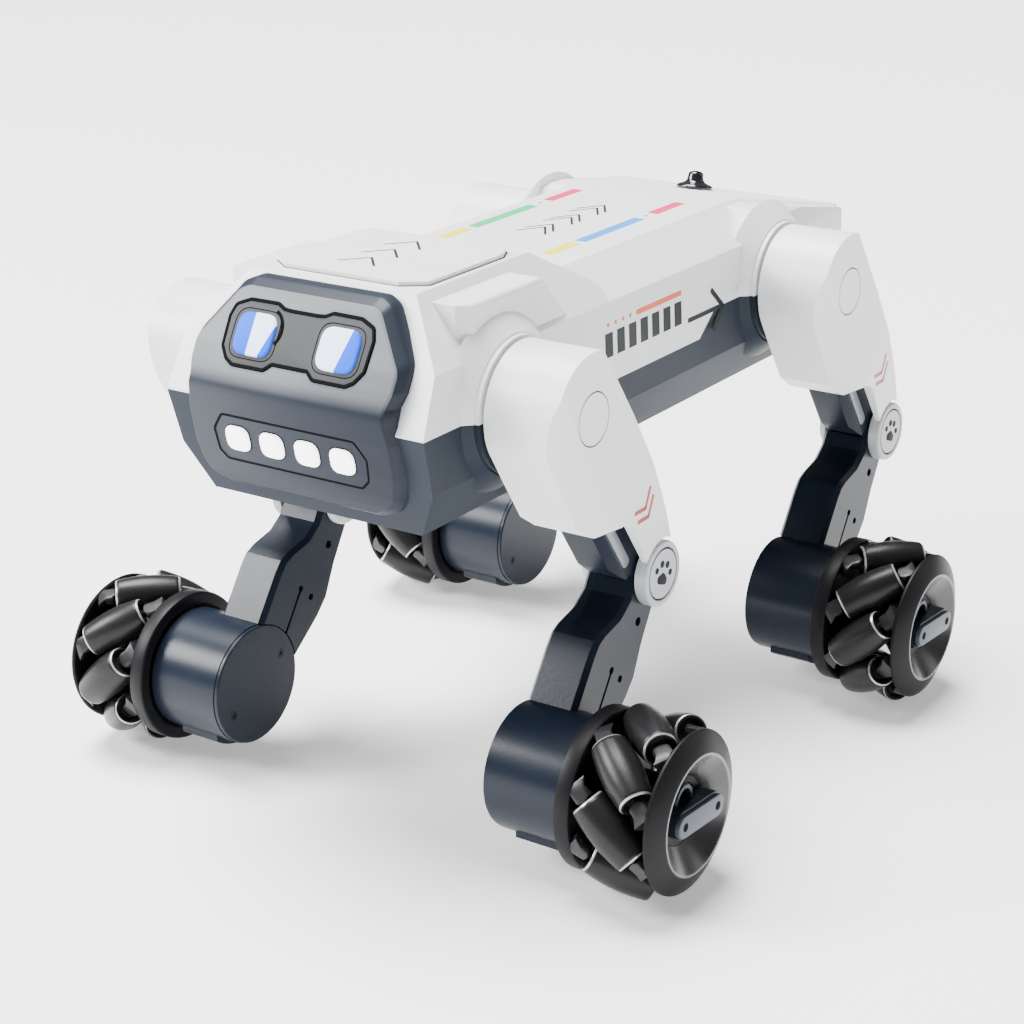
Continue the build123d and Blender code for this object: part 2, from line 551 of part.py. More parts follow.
# ---------------------------------------------------------------- write every node
def write_chassis():
    outside = body_outside()
    shell = outside - core(WALL)
    for y in HIP_STATIONS:
        shell -= both_sides(disc_x(y, HIP_Z, HIP_AXLE_R + 0.6, 40.0, 60.0))
    shell += button_seat() & core(WALL / 2)
    shell -= button_well()
    shell -= hatch_prism(0.3, HATCH_FLOOR, 200)
    upper = (shell & seam_region()).solids().sort_by(SortBy.VOLUME)[-1]
    belly = (shell - seam_region()).solids().sort_by(SortBy.VOLUME)[-1]
    place = Pos(0, BASE_Y, 0)
    save("upper_shell", place * upper, place * hatch_prism(0, HATCH_FLOOR, HATCH_TOP))
    door = box(-41, 41, -20, 40, 112, 131)
    door_part = (belly & door).solids().sort_by(SortBy.VOLUME)[-1]
    save("belly_shell", place * (belly - door), place * door_part)
    save("face_panel", place * visor(outside))
    save("face_lenses", *[place * lens for lens in lens_holes()])
    save("power_button", place * push_button())
    servos = [servo(y) for y in HIP_STATIONS]
    save("hip_servos", *[place * s for s in servos], *[place * mirror(s, about=Plane.YZ) for s in servos])
    save("battery_pack", place * box(-28, 28, -15, 72, 119.2, 140))
    save("circuit_board", *[place * piece for piece in circuit_board()])


def write_legs():
    nodes = {
        "thigh_cover": [thigh_cover(), *paw_caps()],
        "thigh_frame": thigh_frame(),
        "shin": [shin()],
        "wheel_motor": wheel_motor(),
    }
    for leg, (axle_y, right, hand) in LEGS.items():
        def put(solid):
            side = mirror(solid, about=Plane.YZ) if right else solid
            return Pos(0, axle_y, 0) * side

        for name, solids in nodes.items():
            save(f"{leg}_{name}", *[put(s) for s in solids])
        save(f"{leg}_wheel_hub", *[put(s) for s in wheel_hub(hand)])
        for k in range(ROLLERS):
            save(f"{leg}_roller_{k + 1}", put(roller(k, hand)))


write_chassis()
write_legs()
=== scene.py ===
"""Looks of the quadruped robot dog: camera, studio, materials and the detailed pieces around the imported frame.

Lengths in the tables below are millimetres, measured from the middle between the wheel axles (y),
from the floor (z) and from the plane of symmetry (x).  place() turns them into the row frame.
"""
import json
import math

import bmesh
import bpy
from mathutils import Matrix, Vector


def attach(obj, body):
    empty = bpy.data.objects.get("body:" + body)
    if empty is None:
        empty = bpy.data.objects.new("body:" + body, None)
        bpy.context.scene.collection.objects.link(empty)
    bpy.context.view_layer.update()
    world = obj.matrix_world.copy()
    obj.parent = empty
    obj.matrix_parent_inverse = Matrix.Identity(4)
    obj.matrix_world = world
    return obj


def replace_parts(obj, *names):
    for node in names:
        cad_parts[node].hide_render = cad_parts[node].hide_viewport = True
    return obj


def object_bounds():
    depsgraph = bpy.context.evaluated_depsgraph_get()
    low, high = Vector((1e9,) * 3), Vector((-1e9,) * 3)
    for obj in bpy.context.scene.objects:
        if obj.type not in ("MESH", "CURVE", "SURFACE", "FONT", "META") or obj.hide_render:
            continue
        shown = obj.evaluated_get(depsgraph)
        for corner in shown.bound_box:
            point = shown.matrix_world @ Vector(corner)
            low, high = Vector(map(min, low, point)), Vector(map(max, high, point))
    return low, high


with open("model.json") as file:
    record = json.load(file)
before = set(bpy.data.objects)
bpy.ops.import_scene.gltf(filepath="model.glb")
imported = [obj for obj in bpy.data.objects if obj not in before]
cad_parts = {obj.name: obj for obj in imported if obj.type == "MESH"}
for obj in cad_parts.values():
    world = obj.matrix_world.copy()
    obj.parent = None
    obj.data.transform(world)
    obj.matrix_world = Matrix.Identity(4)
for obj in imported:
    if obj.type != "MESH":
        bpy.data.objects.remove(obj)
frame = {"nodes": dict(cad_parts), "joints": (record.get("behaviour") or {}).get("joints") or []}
CAD_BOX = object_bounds()
JOINTS = {j["name"]: j for j in frame["joints"]}
MM = 0.001
SIDES = {"front_left": 1, "front_right": -1, "rear_left": 1, "rear_right": -1}
AXLES = {leg: Vector(JOINTS[leg + "_wheel_spin"]["pos_m"]) / MM for leg in SIDES}
BASE_Y = (AXLES["front_left"].y + AXLES["rear_left"].y) / 2


# ------------------------------------------------------------------ camera, light and floor
VIEW_AZIMUTH, VIEW_ELEVATION, VIEW_ROLL = 34.55, 20.66, -0.84
VIEW_DISTANCE, VIEW_TARGET, VIEW_LENS = 0.78833, (10.92, -23.44, 87.8), 80.09


def make_camera():
    back = Vector((
        math.sin(math.radians(VIEW_AZIMUTH)) * math.cos(math.radians(VIEW_ELEVATION)),
        -math.cos(math.radians(VIEW_AZIMUTH)) * math.cos(math.radians(VIEW_ELEVATION)),
        math.sin(math.radians(VIEW_ELEVATION)),
    ))
    data = bpy.data.cameras.new("camera")
    data.lens = VIEW_LENS
    data.sensor_width = 36.0
    camera = bpy.data.objects.new("camera", data)
    bpy.context.scene.collection.objects.link(camera)
    x, y, z = VIEW_TARGET
    camera.location = Vector((x, y + BASE_Y, z)) * MM + back * VIEW_DISTANCE
    turn = back.to_track_quat("Z", "Y").to_matrix() @ Matrix.Rotation(math.radians(VIEW_ROLL), 3, "Z")
    camera.rotation_euler = turn.to_euler()
    bpy.context.scene.camera = camera


def area_light(name, location, target, size, power):
    data = bpy.data.lights.new(name, "AREA")
    data.shape = "RECTANGLE"
    data.size, data.size_y = size
    data.energy = power
    light = bpy.data.objects.new(name, data)
    bpy.context.scene.collection.objects.link(light)
    light.location = location
    light.rotation_euler = (Vector(target) - Vector(location)).to_track_quat("-Z", "Y").to_euler()


def overhead_light(name, tilt, strength, spread):
    """Broad even light from above, the same all over the floor."""
    data = bpy.data.lights.new(name, "SUN")
    data.energy = strength
    data.angle = math.radians(spread)
    light = bpy.data.objects.new(name, data)
    bpy.context.scene.collection.objects.link(light)
    light.rotation_euler = [math.radians(angle) for angle in tilt]


def make_studio():
    world = bpy.data.worlds.new("studio")
    bpy.context.scene.world = world
    world.use_nodes = True
    background = world.node_tree.nodes["Background"]
    background.inputs["Color"].default_value = (0.93, 0.94, 0.96, 1)
    background.inputs["Strength"].default_value = 0.20
    overhead_light("top_softbox", (-4.0, -16.0, 0.0), 11.5, 35.0)
    area_light("key_softbox", (-1.2, -0.9, 1.0), (0, 0, 0.1), (0.7, 0.6), 56.0)
    area_light("rim_softbox", (1.0, 1.0, 0.7), (0, 0, 0.1), (0.6, 0.5), 2.0)
    bm = bmesh.new()
    bmesh.ops.create_grid(bm, x_segments=4, y_segments=4, size=6.0)
    mesh = bpy.data.meshes.new("floor")
    bm.to_mesh(mesh)
    bm.free()
    floor = bpy.data.objects.new("floor", mesh)
    bpy.context.scene.collection.objects.link(floor)
    floor.location.z = CAD_BOX[0].z - 0.0001
    paint = surface("floor_white", (0.86, 0.86, 0.865), 0.6, grain=0.0, glow=((1.0, 1.0, 1.0), 0.45))
    mesh.materials.append(paint)


# ------------------------------------------------------------------ materials
def surface(name, colour, rough, metal=0.0, coat=0.0, grain=900.0, bump=0.02, mottle=0.03, glow=None, spec=0.5):
    """Moulded plastic, rubber or metal: fine grain in the bump, soft variation in colour and roughness."""
    material = bpy.data.materials.new(name)
    material.use_nodes = True
    tree = material.node_tree
    shader = tree.nodes["Principled BSDF"]
    shader.inputs["Base Color"].default_value = (*colour, 1)
    shader.inputs["Roughness"].default_value = rough
    shader.inputs["Metallic"].default_value = metal
    shader.inputs["Coat Weight"].default_value = coat
    shader.inputs["Specular IOR Level"].default_value = spec
    shader.inputs["Coat Roughness"].default_value = 0.12
    if glow:
        shader.inputs["Emission Color"].default_value = (*glow[0], 1)
        shader.inputs["Emission Strength"].default_value = glow[1]
    if not grain:
        return material
    where = tree.nodes.new("ShaderNodeTexCoord")
    slow = tree.nodes.new("ShaderNodeTexNoise")
    slow.inputs["Scale"].default_value = 55.0
    slow.inputs["Detail"].default_value = 3.0
    tree.links.new(where.outputs["Object"], slow.inputs["Vector"])
    tint = tree.nodes.new("ShaderNodeMix")
    tint.data_type = "RGBA"
    tint.inputs["A"].default_value = (*[c * (1 - mottle) for c in colour], 1)
    tint.inputs["B"].default_value = (*[min(1.0, c * (1 + mottle)) for c in colour], 1)
    tree.links.new(slow.outputs["Fac"], tint.inputs["Factor"])
    tree.links.new(tint.outputs["Result"], shader.inputs["Base Color"])
    shine = tree.nodes.new("ShaderNodeMapRange")
    shine.inputs["To Min"].default_value = rough * 0.9
    shine.inputs["To Max"].default_value = rough * 1.1
    tree.links.new(slow.outputs["Fac"], shine.inputs["Value"])
    tree.links.new(shine.outputs["Result"], shader.inputs["Roughness"])
    fine = tree.nodes.new("ShaderNodeTexNoise")
    fine.inputs["Scale"].default_value = grain
    fine.inputs["Detail"].default_value = 2.0
    tree.links.new(where.outputs["Object"], fine.inputs["Vector"])
    relief = tree.nodes.new("ShaderNodeBump")
    relief.inputs["Strength"].default_value = bump
    relief.inputs["Distance"].default_value = 0.0004
    tree.links.new(fine.outputs["Fac"], relief.inputs["Height"])
    tree.links.new(relief.outputs["Normal"], shader.inputs["Normal"])
    return material


def fade_down(material, low_colour, low_z, high_z):
    """Blend the colour into a second one below a height in the row frame."""
    tree = material.node_tree
    shader = tree.nodes["Principled BSDF"]
    source = shader.inputs["Base Color"].links[0].from_socket
    where, split = tree.nodes.new("ShaderNodeTexCoord"), tree.nodes.new("ShaderNodeSeparateXYZ")
    level, mix = tree.nodes.new("ShaderNodeMapRange"), tree.nodes.new("ShaderNodeMix")
    level.interpolation_type = "SMOOTHSTEP"
    level.inputs["From Min"].default_value = low_z
    level.inputs["From Max"].default_value = high_z
    mix.data_type = "RGBA"
    mix.inputs["A"].default_value = (*low_colour, 1)
    tree.links.new(where.outputs["Object"], split.inputs["Vector"])
    tree.links.new(split.outputs["Z"], level.inputs["Value"])
    tree.links.new(level.outputs["Result"], mix.inputs["Factor"])
    tree.links.new(source, mix.inputs["B"])
    tree.links.new(mix.outputs["Result"], shader.inputs["Base Color"])


WHITE = surface("shell_white", (0.80, 0.81, 0.82), 0.36, bump=0.05, mottle=0.012)
SLATE = surface("shell_slate", (0.018, 0.024, 0.035), 0.42, bump=0.06, mottle=0.04, spec=0.11)
VISOR = surface("visor_slate", (0.020, 0.025, 0.036), 0.38, bump=0.05, mottle=0.04, spec=0.16)
# painted sheen: the visor slate made lighter on the upward-facing eye plane and on the rim; below the bend it
# fades back to the plain slate
VISOR_SHEEN = surface("visor_painted_sheen", (0.155, 0.165, 0.178), 0.42, bump=0.05, mottle=0.02, spec=0.14)
fade_down(VISOR_SHEEN, (0.020, 0.025, 0.036), 0.1560, 0.1615)
BEZEL = surface("bezel_grey", (0.060, 0.062, 0.065), 0.55, bump=0.05, mottle=0.03, spec=0.10)
# painted highlight: a lighter metal tone for the thin bright edge of the ring's lip
LIP_HIGHLIGHT = surface("ring_lip_painted_highlight", (0.15, 0.15, 0.155), 0.28, metal=0.8, bump=0.03)
# near black for the dark outline round the goggle bezel, and painted shade in the lamp groove, round the lamps,
# on the eyes' inner flanks and in the coupler holes
LINE = surface("outline_and_painted_shade_black", (0.002, 0.002, 0.003), 0.7, bump=0.05, spec=0.05)
# painted glow: the blue lens, which is no lamp, glows a little to keep its colour vivid
EYE_BLUE = surface(
    "lens_blue_painted_glow", (0.001, 0.085, 0.70), 0.35, mottle=0.02, glow=((0.0, 0.085, 0.95), 0.72), spec=0.05)
# painted reflection: a pale glowing tone for the reflection patch on each lens
EYE_REFLECTION = surface("lens_painted_reflection", (0.60, 0.72, 0.98), 0.35, mottle=0.01, glow=((0.66, 0.78, 1.0), 1.4), spec=0.08)
LAMP = surface("lamp_white", (0.95, 0.95, 0.95), 0.25, coat=0.3, mottle=0.01, glow=((1.0, 1.0, 1.0), 3.5))
NAVY = surface("leg_navy", (0.0075, 0.012, 0.022), 0.30, bump=0.06, mottle=0.05, spec=0.22)
INSERT = surface("insert_grey", (0.20, 0.215, 0.23), 0.30, metal=0.3)
CAP_GREY = surface("cap_grey", (0.50, 0.51, 0.53), 0.38, bump=0.05, mottle=0.02)
# dark grey for the paw print, and painted shade in the grooves of the knee cap and over the hip
MARK_AND_SHADE_GREY = surface("mark_and_groove_shade_grey", (0.022, 0.023, 0.026), 0.6, bump=0.0, spec=0.1)
RUBBER = surface(
    "roller_rubber", (0.0085, 0.0085, 0.0092), 0.36, bump=0.12, mottle=0.08, grain=1400.0, spec=0.25)
# light grey metal for the roller end rims, made light partly as a painted highlight on their edge
RIM_AND_HIGHLIGHT = surface("roller_rim_and_painted_highlight", (0.42, 0.43, 0.44), 0.28, metal=0.5)
# near black for the roller sockets and the hip servos, and painted shade in the gap round the hatch
SOCKET_AND_GAP_SHADE = surface("socket_black_and_gap_shade", (0.006, 0.006, 0.007), 0.5, spec=0.25)
HUB = surface("hub_black", (0.005, 0.005, 0.006), 0.45, bump=0.05, mottle=0.06, spec=0.16)
POLISH = surface("ring_polished", (0.08, 0.08, 0.082), 0.28, metal=0.85, bump=0.03, mottle=0.04)
STEEL = surface("arm_steel", (0.030, 0.030, 0.032), 0.32, metal=0.5, bump=0.03, spec=0.3)
PLATE = surface("plate_grey", (0.058, 0.074, 0.095), 0.36, bump=0.05, spec=0.3)
GLOSS = surface("button_black", (0.010, 0.010, 0.012), 0.14, coat=0.5, mottle=0.05)
SCREW = surface("screw_black", (0.012, 0.013, 0.016), 0.30, metal=0.6)
INKS = {
    "yellow": surface("ink_yellow", (0.88, 0.72, 0.004), 0.42),
    "green": surface("ink_green", (0.004, 0.50, 0.19), 0.42),
    "blue": surface("ink_blue", (0.03, 0.25, 0.80), 0.42),
    "pink": surface("ink_pink", (0.74, 0.015, 0.12), 0.42),
    "orange": surface("ink_orange", (0.74, 0.10, 0.004), 0.42),
    "dark": surface("ink_dark", (0.006, 0.007, 0.009), 0.42, spec=0.2),
    "red": surface("ink_red", (0.42, 0.004, 0.003), 0.42),
    "outline": surface("ink_outline", (0.020, 0.021, 0.023), 0.42),
}


# ------------------------------------------------------------------ mesh helpers
def place(matrix=None, side=1, y=0.0):
    """Millimetres in the table frame to metres in the row frame, mirrored for the right side."""
    shift = Matrix.Translation(Vector((0, y + BASE_Y, 0)) * MM)
    scale = Matrix.Diagonal((MM * side, MM, MM, 1))
    return shift @ scale @ (matrix or Matrix.Identity(4))


def plane(origin, x_dir, normal):
    """Matrix whose local x is x_dir and local z is the normal."""
    z = Vector(normal).normalized()
    x = Vector(x_dir).normalized()
    y = z.cross(x)
    m = Matrix((x, y, z)).transposed().to_4x4()
    m.translation = Vector(origin)
    return m


def add_object(bm, name, materials, body, matrix=None, sharp=40.0, weighted=False):
    if matrix is not None:
        bmesh.ops.transform(bm, matrix=matrix, verts=bm.verts)
    bmesh.ops.recalc_face_normals(bm, faces=bm.faces)
    mesh = bpy.data.meshes.new(name)
    bm.to_mesh(mesh)
    bm.free()
    mesh.polygons.foreach_set("use_smooth", [True] * len(mesh.polygons))
    if not weighted:
        mesh.set_sharp_from_angle(angle=math.radians(sharp))
    for material in materials:
        mesh.materials.append(material)
    obj = bpy.data.objects.new(name, mesh)
    bpy.context.scene.collection.objects.link(obj)
    if weighted:
        normals = obj.modifiers.new("normals", "WEIGHTED_NORMAL")
        normals.keep_sharp = True
    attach(obj, body)
    return obj


def soften(bm, width, angle=22.0, segments=3):
    """Round every edge that is sharper than the angle, in the mesh's own units."""
    limit = math.radians(angle)
    edges = [e for e in bm.edges if len(e.link_faces) == 2 and e.calc_face_angle(0) > limit]
    bmesh.ops.bevel(
        bm, geom=edges, offset=width, segments=segments, profile=0.5, affect="EDGES", clamp_overlap=True)


def carry(node, material, body, width=0.5, angle=22.0, drop=None):
    """The CAD node's own shape with its edges rounded."""
    bm = bmesh.new()
    bm.from_mesh(frame["nodes"][node].data)
    if drop:
        bmesh.ops.delete(bm, geom=[v for v in bm.verts if drop(v.co)], context="VERTS")
    bmesh.ops.remove_doubles(bm, verts=bm.verts, dist=2e-6)
    bmesh.ops.dissolve_limit(
        bm, angle_limit=math.radians(0.6), use_dissolve_boundaries=False, verts=bm.verts, edges=bm.edges)
    soften(bm, width * MM, angle)
    obj = add_object(bm, node + "_skin", [material], body, weighted=True)
    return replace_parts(obj, node)


def rounded_outline(points, radius, steps=5):
    """Closed 2-D outline with every corner rounded; radius may be one number or one per corner."""
    result = []
    count = len(points)
    radii = radius if isinstance(radius, (list, tuple)) else [radius] * count
    for i, corner in enumerate(points):
        p = Vector(corner)
        a = (Vector(points[i - 1]) - p)
        b = (Vector(points[(i + 1) % count]) - p)
        la, lb = a.length, b.length
        a.normalize()
        b.normalize()
        half = math.acos(max(-1.0, min(1.0, a.dot(b)))) / 2
        if radii[i] <= 0 or half > math.radians(88):
            result.append(tuple(p))
            continue
        reach = min(radii[i] / math.tan(half), 0.48 * la, 0.48 * lb)
        p0, p1 = p + a * reach, p + b * reach
        for k in range(steps + 1):
            t = k / steps
            result.append(tuple((1 - t) ** 2 * p0 + 2 * t * (1 - t) * p + t * t * p1))
    return result


def offset_outline(points, distance):
    """Closed outline moved outward (counter-clockwise points) along the mitred normals."""
    result = []
    count = len(points)
    for i in range(count):
        p = Vector(points[i])
        a = (p - Vector(points[i - 1]))
        b = (Vector(points[(i + 1) % count]) - p)
        if a.length < 1e-6 or b.length < 1e-6:
            a = b if a.length < 1e-6 else a
            b = a if b.length < 1e-6 else b
        n0 = Vector((a.y, -a.x)).normalized()
        n1 = Vector((b.y, -b.x)).normalized()
        n = (n0 + n1)
        n = n0 if n.length < 1e-3 else n.normalized()
        result.append(tuple(p + n * distance / max(0.5, n.dot(n1))))
    return result


def ccw(points):
    area = sum(points[i - 1][0] * p[1] - p[0] * points[i - 1][1] for i, p in enumerate(points))
    return points if area > 0 else points[::-1]


def stack(bm, rings, close_ends=True, closed_stack=False, material=0):
    """Faces between successive rings of equal length, with flat ends."""
    loops = [[bm.verts.new(p) for p in ring] for ring in rings]
    pairs = list(zip(loops, loops[1:]))
    if closed_stack:
        pairs.append((loops[-1], loops[0]))
    for low, high in pairs:
        count = len(low)
        for i in range(count):
            j = (i + 1) % count
            bm.faces.new((low[i], low[j], high[j], high[i])).material_index = material
    if close_ends and not closed_stack:
        bm.faces.new(loops[0][::-1]).material_index = material
        bm.faces.new(loops[-1]).material_index = material
    return loops


def pad(bm, outline, low, high, round_over=0.3, steps=3, material=0):
    """Raised plate with a rounded upper rim."""
    outline = ccw(outline)
    rings = [[(x, y, low) for x, y in outline], [(x, y, high - round_over) for x, y in outline]]
    for k in range(1, steps + 1):
        turn = math.pi / 2 * k / steps
        inner = offset_outline(outline, -round_over * (1 - math.cos(turn)))
        rings.append([(x, y, high - round_over * (1 - math.sin(turn))) for x, y in inner])
    stack(bm, rings, material=material)


def ribbon(bm, outline, width, low, high, closed=True, material=0):
    """Narrow raised strip that follows an outline."""
    if closed:
        outline = ccw(outline)
        outer, inner = offset_outline(outline, width / 2), offset_outline(outline, -width / 2)
        rounded = min(width, high - low) * 0.3
        mid_o = offset_outline(outline, width / 2 - rounded)
        mid_i = offset_outline(outline, rounded - width / 2)
        rings = [
            [(x, y, low) for x, y in outer], [(x, y, high - rounded) for x, y in outer],
            [(x, y, high) for x, y in mid_o], [(x, y, high) for x, y in mid_i],
            [(x, y, high - rounded) for x, y in inner], [(x, y, low) for x, y in inner],
        ]
        stack(bm, rings, closed_stack=True, material=material)
        return
    for (x0, y0), (x1, y1) in zip(outline, outline[1:]):
        a, b = Vector((x0, y0)), Vector((x1, y1))
        n = Vector((b.y - a.y, a.x - b.x)).normalized() * width / 2
        along = (b - a).normalized() * width / 4
        quad = [tuple(a - along + n), tuple(b + along + n), tuple(b + along - n), tuple(a - along - n)]
        pad(bm, quad, low, high, min(0.05, (high - low) / 3), steps=1, material=material)


def lathe(bm, profile, segments=64, materials=None, closed=True):
    """Turn (axial, radius) points about local z; one material index per profile segment."""
    rings = []
    for axial, radius in profile:
        if radius < 1e-6:
            rings.append([bm.verts.new((0, 0, axial))])
            continue
        rings.append([
            bm.verts.new((radius * math.cos(turn), radius * math.sin(turn), axial))
            for turn in (2 * math.pi * k / segments for k in range(segments))
        ])
    pairs = list(zip(rings, rings[1:]))
    if closed and len(rings[0]) > 1 and len(rings[-1]) > 1:
        pairs.append((rings[-1], rings[0]))
    for index, (low, high) in enumerate(pairs):
        material = materials[index] if materials and index < len(materials) else 0
        for i in range(segments):
            j = (i + 1) % segments
            corners = [low[i % len(low)], low[j % len(low)], high[j % len(high)], high[i % len(high)]]
            unique = list(dict.fromkeys(corners))
            if len(unique) > 2:
                bm.faces.new(unique).material_index = material


def arc_points(cx, cy, radius, start, end, steps):
    return [
        (cx + radius * math.cos(math.radians(start + (end - start) * k / steps)),
         cy + radius * math.sin(math.radians(start + (end - start) * k / steps)))
        for k in range(steps + 1)
    ]


def circle_outline(cx, cy, radius, steps=40):
    return arc_points(cx, cy, radius, 0, 360 - 360 / steps, steps - 1)


def join_into(target, source, matrix):
    """Copy one small mesh into another at a matrix."""
    mesh = bpy.data.meshes.new("part")
    source.to_mesh(mesh)
    mesh.transform(matrix)
    target.from_mesh(mesh)
    bpy.data.meshes.remove(mesh)


# ------------------------------------------------------------------ shells
carry("upper_shell", WHITE, "chassis", 0.9)
carry("belly_shell", SLATE, "chassis", 0.7)


def is_knee_cap(leg):
    """Test for points of the outer knee cap, which is rebuilt in finer form below."""
    knee = Vector(JOINTS[leg + "_knee"]["pos_m"])
    return lambda p: abs(p.x) > 0.0741 and math.hypot(p.y - knee.y, p.z - knee.z) < 0.0114


for leg in SIDES:
    carry(leg + "_thigh_cover", WHITE, leg + "_thigh", 0.8, drop=is_knee_cap(leg))
    carry(leg + "_thigh_frame", NAVY, leg + "_thigh", 0.5)
    carry(leg + "_shin", NAVY, leg + "_shin", 0.4)
    carry(leg + "_wheel_motor", NAVY, leg + "_shin", 0.4)
frame["nodes"]["hip_servos"].data.materials[0] = SOCKET_AND_GAP_SHADE
frame["nodes"]["battery_pack"].data.materials[0] = NAVY
frame["nodes"]["circuit_board"].data.materials[0] = surface("board_green", (0.02, 0.16, 0.08), 0.4)

# ------------------------------------------------------------------ visor
EYE_SLOPE, MOUTH_SLOPE, VISOR_BLEND = 0.575, -0.2, 1.3
EYE_POINT, MOUTH_POINT = (-121.1, 171.6), (-126.8, 139.0)
EYE_Y0 = EYE_POINT[0] - EYE_SLOPE * EYE_POINT[1]
MOUTH_Y0 = MOUTH_POINT[0] - MOUTH_SLOPE * MOUTH_POINT[1]
VISOR_EDGE = ((2.7, 9.0), (2.7, 4.6), (2.5, 4.1), (0.75, 0.75), (0.35, 0.22), (0.0, 0.0))
VISOR_HALF_WIDTHS = [
    (123.5, 29.0), (125.5, 34.5), (129.0, 37.0), (136.0, 38.6), (147.0, 38.5), (153.0, 37.4), (158.0, 37.0),
    (162.5, 38.3), (168.0, 38.4), (182.5, 27.0), (183.8, 24.0),
]


def visor_y(z):
    """Front of the visor: the eye plane above, the mouth plane below, blended at the bend."""
    eye, mouth = EYE_Y0 + EYE_SLOPE * z, MOUTH_Y0 + MOUTH_SLOPE * z
    return (eye + mouth + math.hypot(eye - mouth, VISOR_BLEND)) / 2


def make_visor():
    right = [(w, z) for z, w in VISOR_HALF_WIDTHS]
    left = [(-x, z) for x, z in reversed(right)]
    outline = ccw(rounded_outline(right + left, 4.0, steps=4))
    dense = []
    for i, p in enumerate(outline):
        q = outline[(i + 1) % len(outline)]
        parts = max(1, int(abs(q[1] - p[1]) / 0.7))
        dense += [(p[0] + (q[0] - p[0]) * k / parts, p[1] + (q[1] - p[1]) * k / parts) for k in range(parts)]
    bm = bmesh.new()
    rings = []
    for grow, depth in VISOR_EDGE:
        ring = offset_outline(dense, grow)
        rings.append([(x, visor_y(z0) + depth, z) for (x, z), (_, z0) in zip(ring, dense)])
    loops = stack(bm, rings, close_ends=False)
    bm.faces.ensure_lookup_table()
    # painted highlight and sheen: the last two edge strips and the front face take the lighter tone
    for face in bm.faces[3 * len(dense):]:
        face.material_index = 1
    # front face in level rows, from each right-hand point to its partner on the left
    front = loops[-1]
    partner = [min(range(len(dense)), key=lambda j: math.dist(dense[j], (-x, z))) for x, z in dense]
    for i in range(len(dense)):
        j = (i + 1) % len(dense)
        if dense[i][0] > 0 and dense[j][0] > 0:
            corners = [front[i], front[j], front[partner[j]], front[partner[i]]]
            unique = list(dict.fromkeys(corners))
            if len(unique) > 2:
                bm.faces.new(unique).material_index = 1
    return add_object(bm, "visor", [VISOR, VISOR_SHEEN], "chassis", place(), sharp=50)


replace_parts(make_visor(), "face_panel")
EYE_COS, MOUTH_COS = 1 / math.hypot(1, EYE_SLOPE), 1 / math.hypot(1, MOUTH_SLOPE)
EYE_PLACE = place(plane((0, *EYE_POINT), (1, 0, 0), (0, -EYE_COS, EYE_SLOPE * EYE_COS)))
MOUTH_PLACE = place(plane((0, *MOUTH_POINT), (1, 0, 0), (0, -MOUTH_COS, MOUTH_SLOPE * MOUTH_COS)))


def rounded_box(cx, cy, w, h, radius):
    x0, x1, y0, y1 = cx - w / 2, cx + w / 2, cy - h / 2, cy + h / 2
    return rounded_outline([(x0, y0), (x1, y0), (x1, y1), (x0, y1)], radius, steps=8)


def eye_v(z):
    """Height up the eye plane of a height in the row frame."""
    return (z - EYE_POINT[1]) / EYE_COS


GOGGLE = [(5.2, 179.2), (8.0, 179.4), (10.8, 180.6), (21.5, 180.5), (26.3, 178.7), (27.5, 175.6), (27.2, 167.4),
          (24.6, 164.2), (21.9, 162.9), (9.8, 162.9), (7.0, 164.9)]


def make_goggle():
    half = [(x, eye_v(z)) for x, z in GOGGLE]
    outline = rounded_outline(half + [(-x, v) for x, v in reversed(half)], 1.6, steps=4)
    bm = bmesh.new()
    pad(bm, outline, -0.6, 0.22, 0.15)
    add_object(bm, "goggle_bezel", [BEZEL], "chassis", EYE_PLACE)
    bm = bmesh.new()
    ribbon(bm, offset_outline(ccw(outline), 0.35), 1.35, -0.6, 0.42)
    for side in (-1, 1):
        # the shaded inner flank of each eye's own frame
        ribbon(bm, rounded_box(side * 16.3, 0, 17.6, 16.0, 5.0), 0.28, -0.4, 0.36)
    # painted shade: a dark curl along the inner side of the right eye
    inner = arc_points(-13.2, 2.4, 6.6, 62, -38, 12)
    ribbon(bm, inner, 1.0, -0.4, 0.44, closed=False)
    add_object(bm, "goggle_outline_and_shade", [LINE], "chassis", EYE_PLACE)


def bisect_tone(bm, cuts, is_painted_reflection):
    """Cut the lens along straight lines and give the pale faces, a painted reflection, the second material."""
    for (x0, y0), (x1, y1) in cuts:
        normal = Vector((y1 - y0, x0 - x1, 0)).normalized()
        geometry = list(bm.verts) + list(bm.edges) + list(bm.faces)
        bmesh.ops.bisect_plane(bm, geom=geometry, plane_co=(x0, y0, 0), plane_no=normal)
    for face in bm.faces:
        c = face.calc_center_median()
        face.material_index = 1 if is_painted_reflection(c.x, c.y) else 0


def right_of(x, y, a, b):
    return (b[0] - a[0]) * (y - a[1]) - (b[1] - a[1]) * (x - a[0]) < 0


def make_eyes():
    # painted reflection: the cuts mark off the pale patch on each lens
    band = ((-17.5, -9.0), (-17.5, 9.0))
    corner = ((-13.4, eye_v(164.6)), (-8.6, eye_v(175.6)))
    slant = ((16.6, eye_v(164.6)), (20.5, eye_v(178.5)))
    for name, x, cuts, pale in (
        ("eye_lens_right", -16.3, (band, corner), lambda px, py: px > -17.5 and not right_of(px, py, *corner)),
        ("eye_lens_left", 16.3, (slant,), lambda px, py: not right_of(px, py, *slant)),
    ):
        bm = bmesh.new()
        pad(bm, rounded_box(x, 0, 15.0, 13.8, 4.6), -0.5, 0.95, 0.7, steps=4)
        bisect_tone(bm, cuts, pale)
        lens = add_object(bm, name, [EYE_BLUE, EYE_REFLECTION], "chassis", EYE_PLACE, sharp=60)
        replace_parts(lens, "face_lenses")


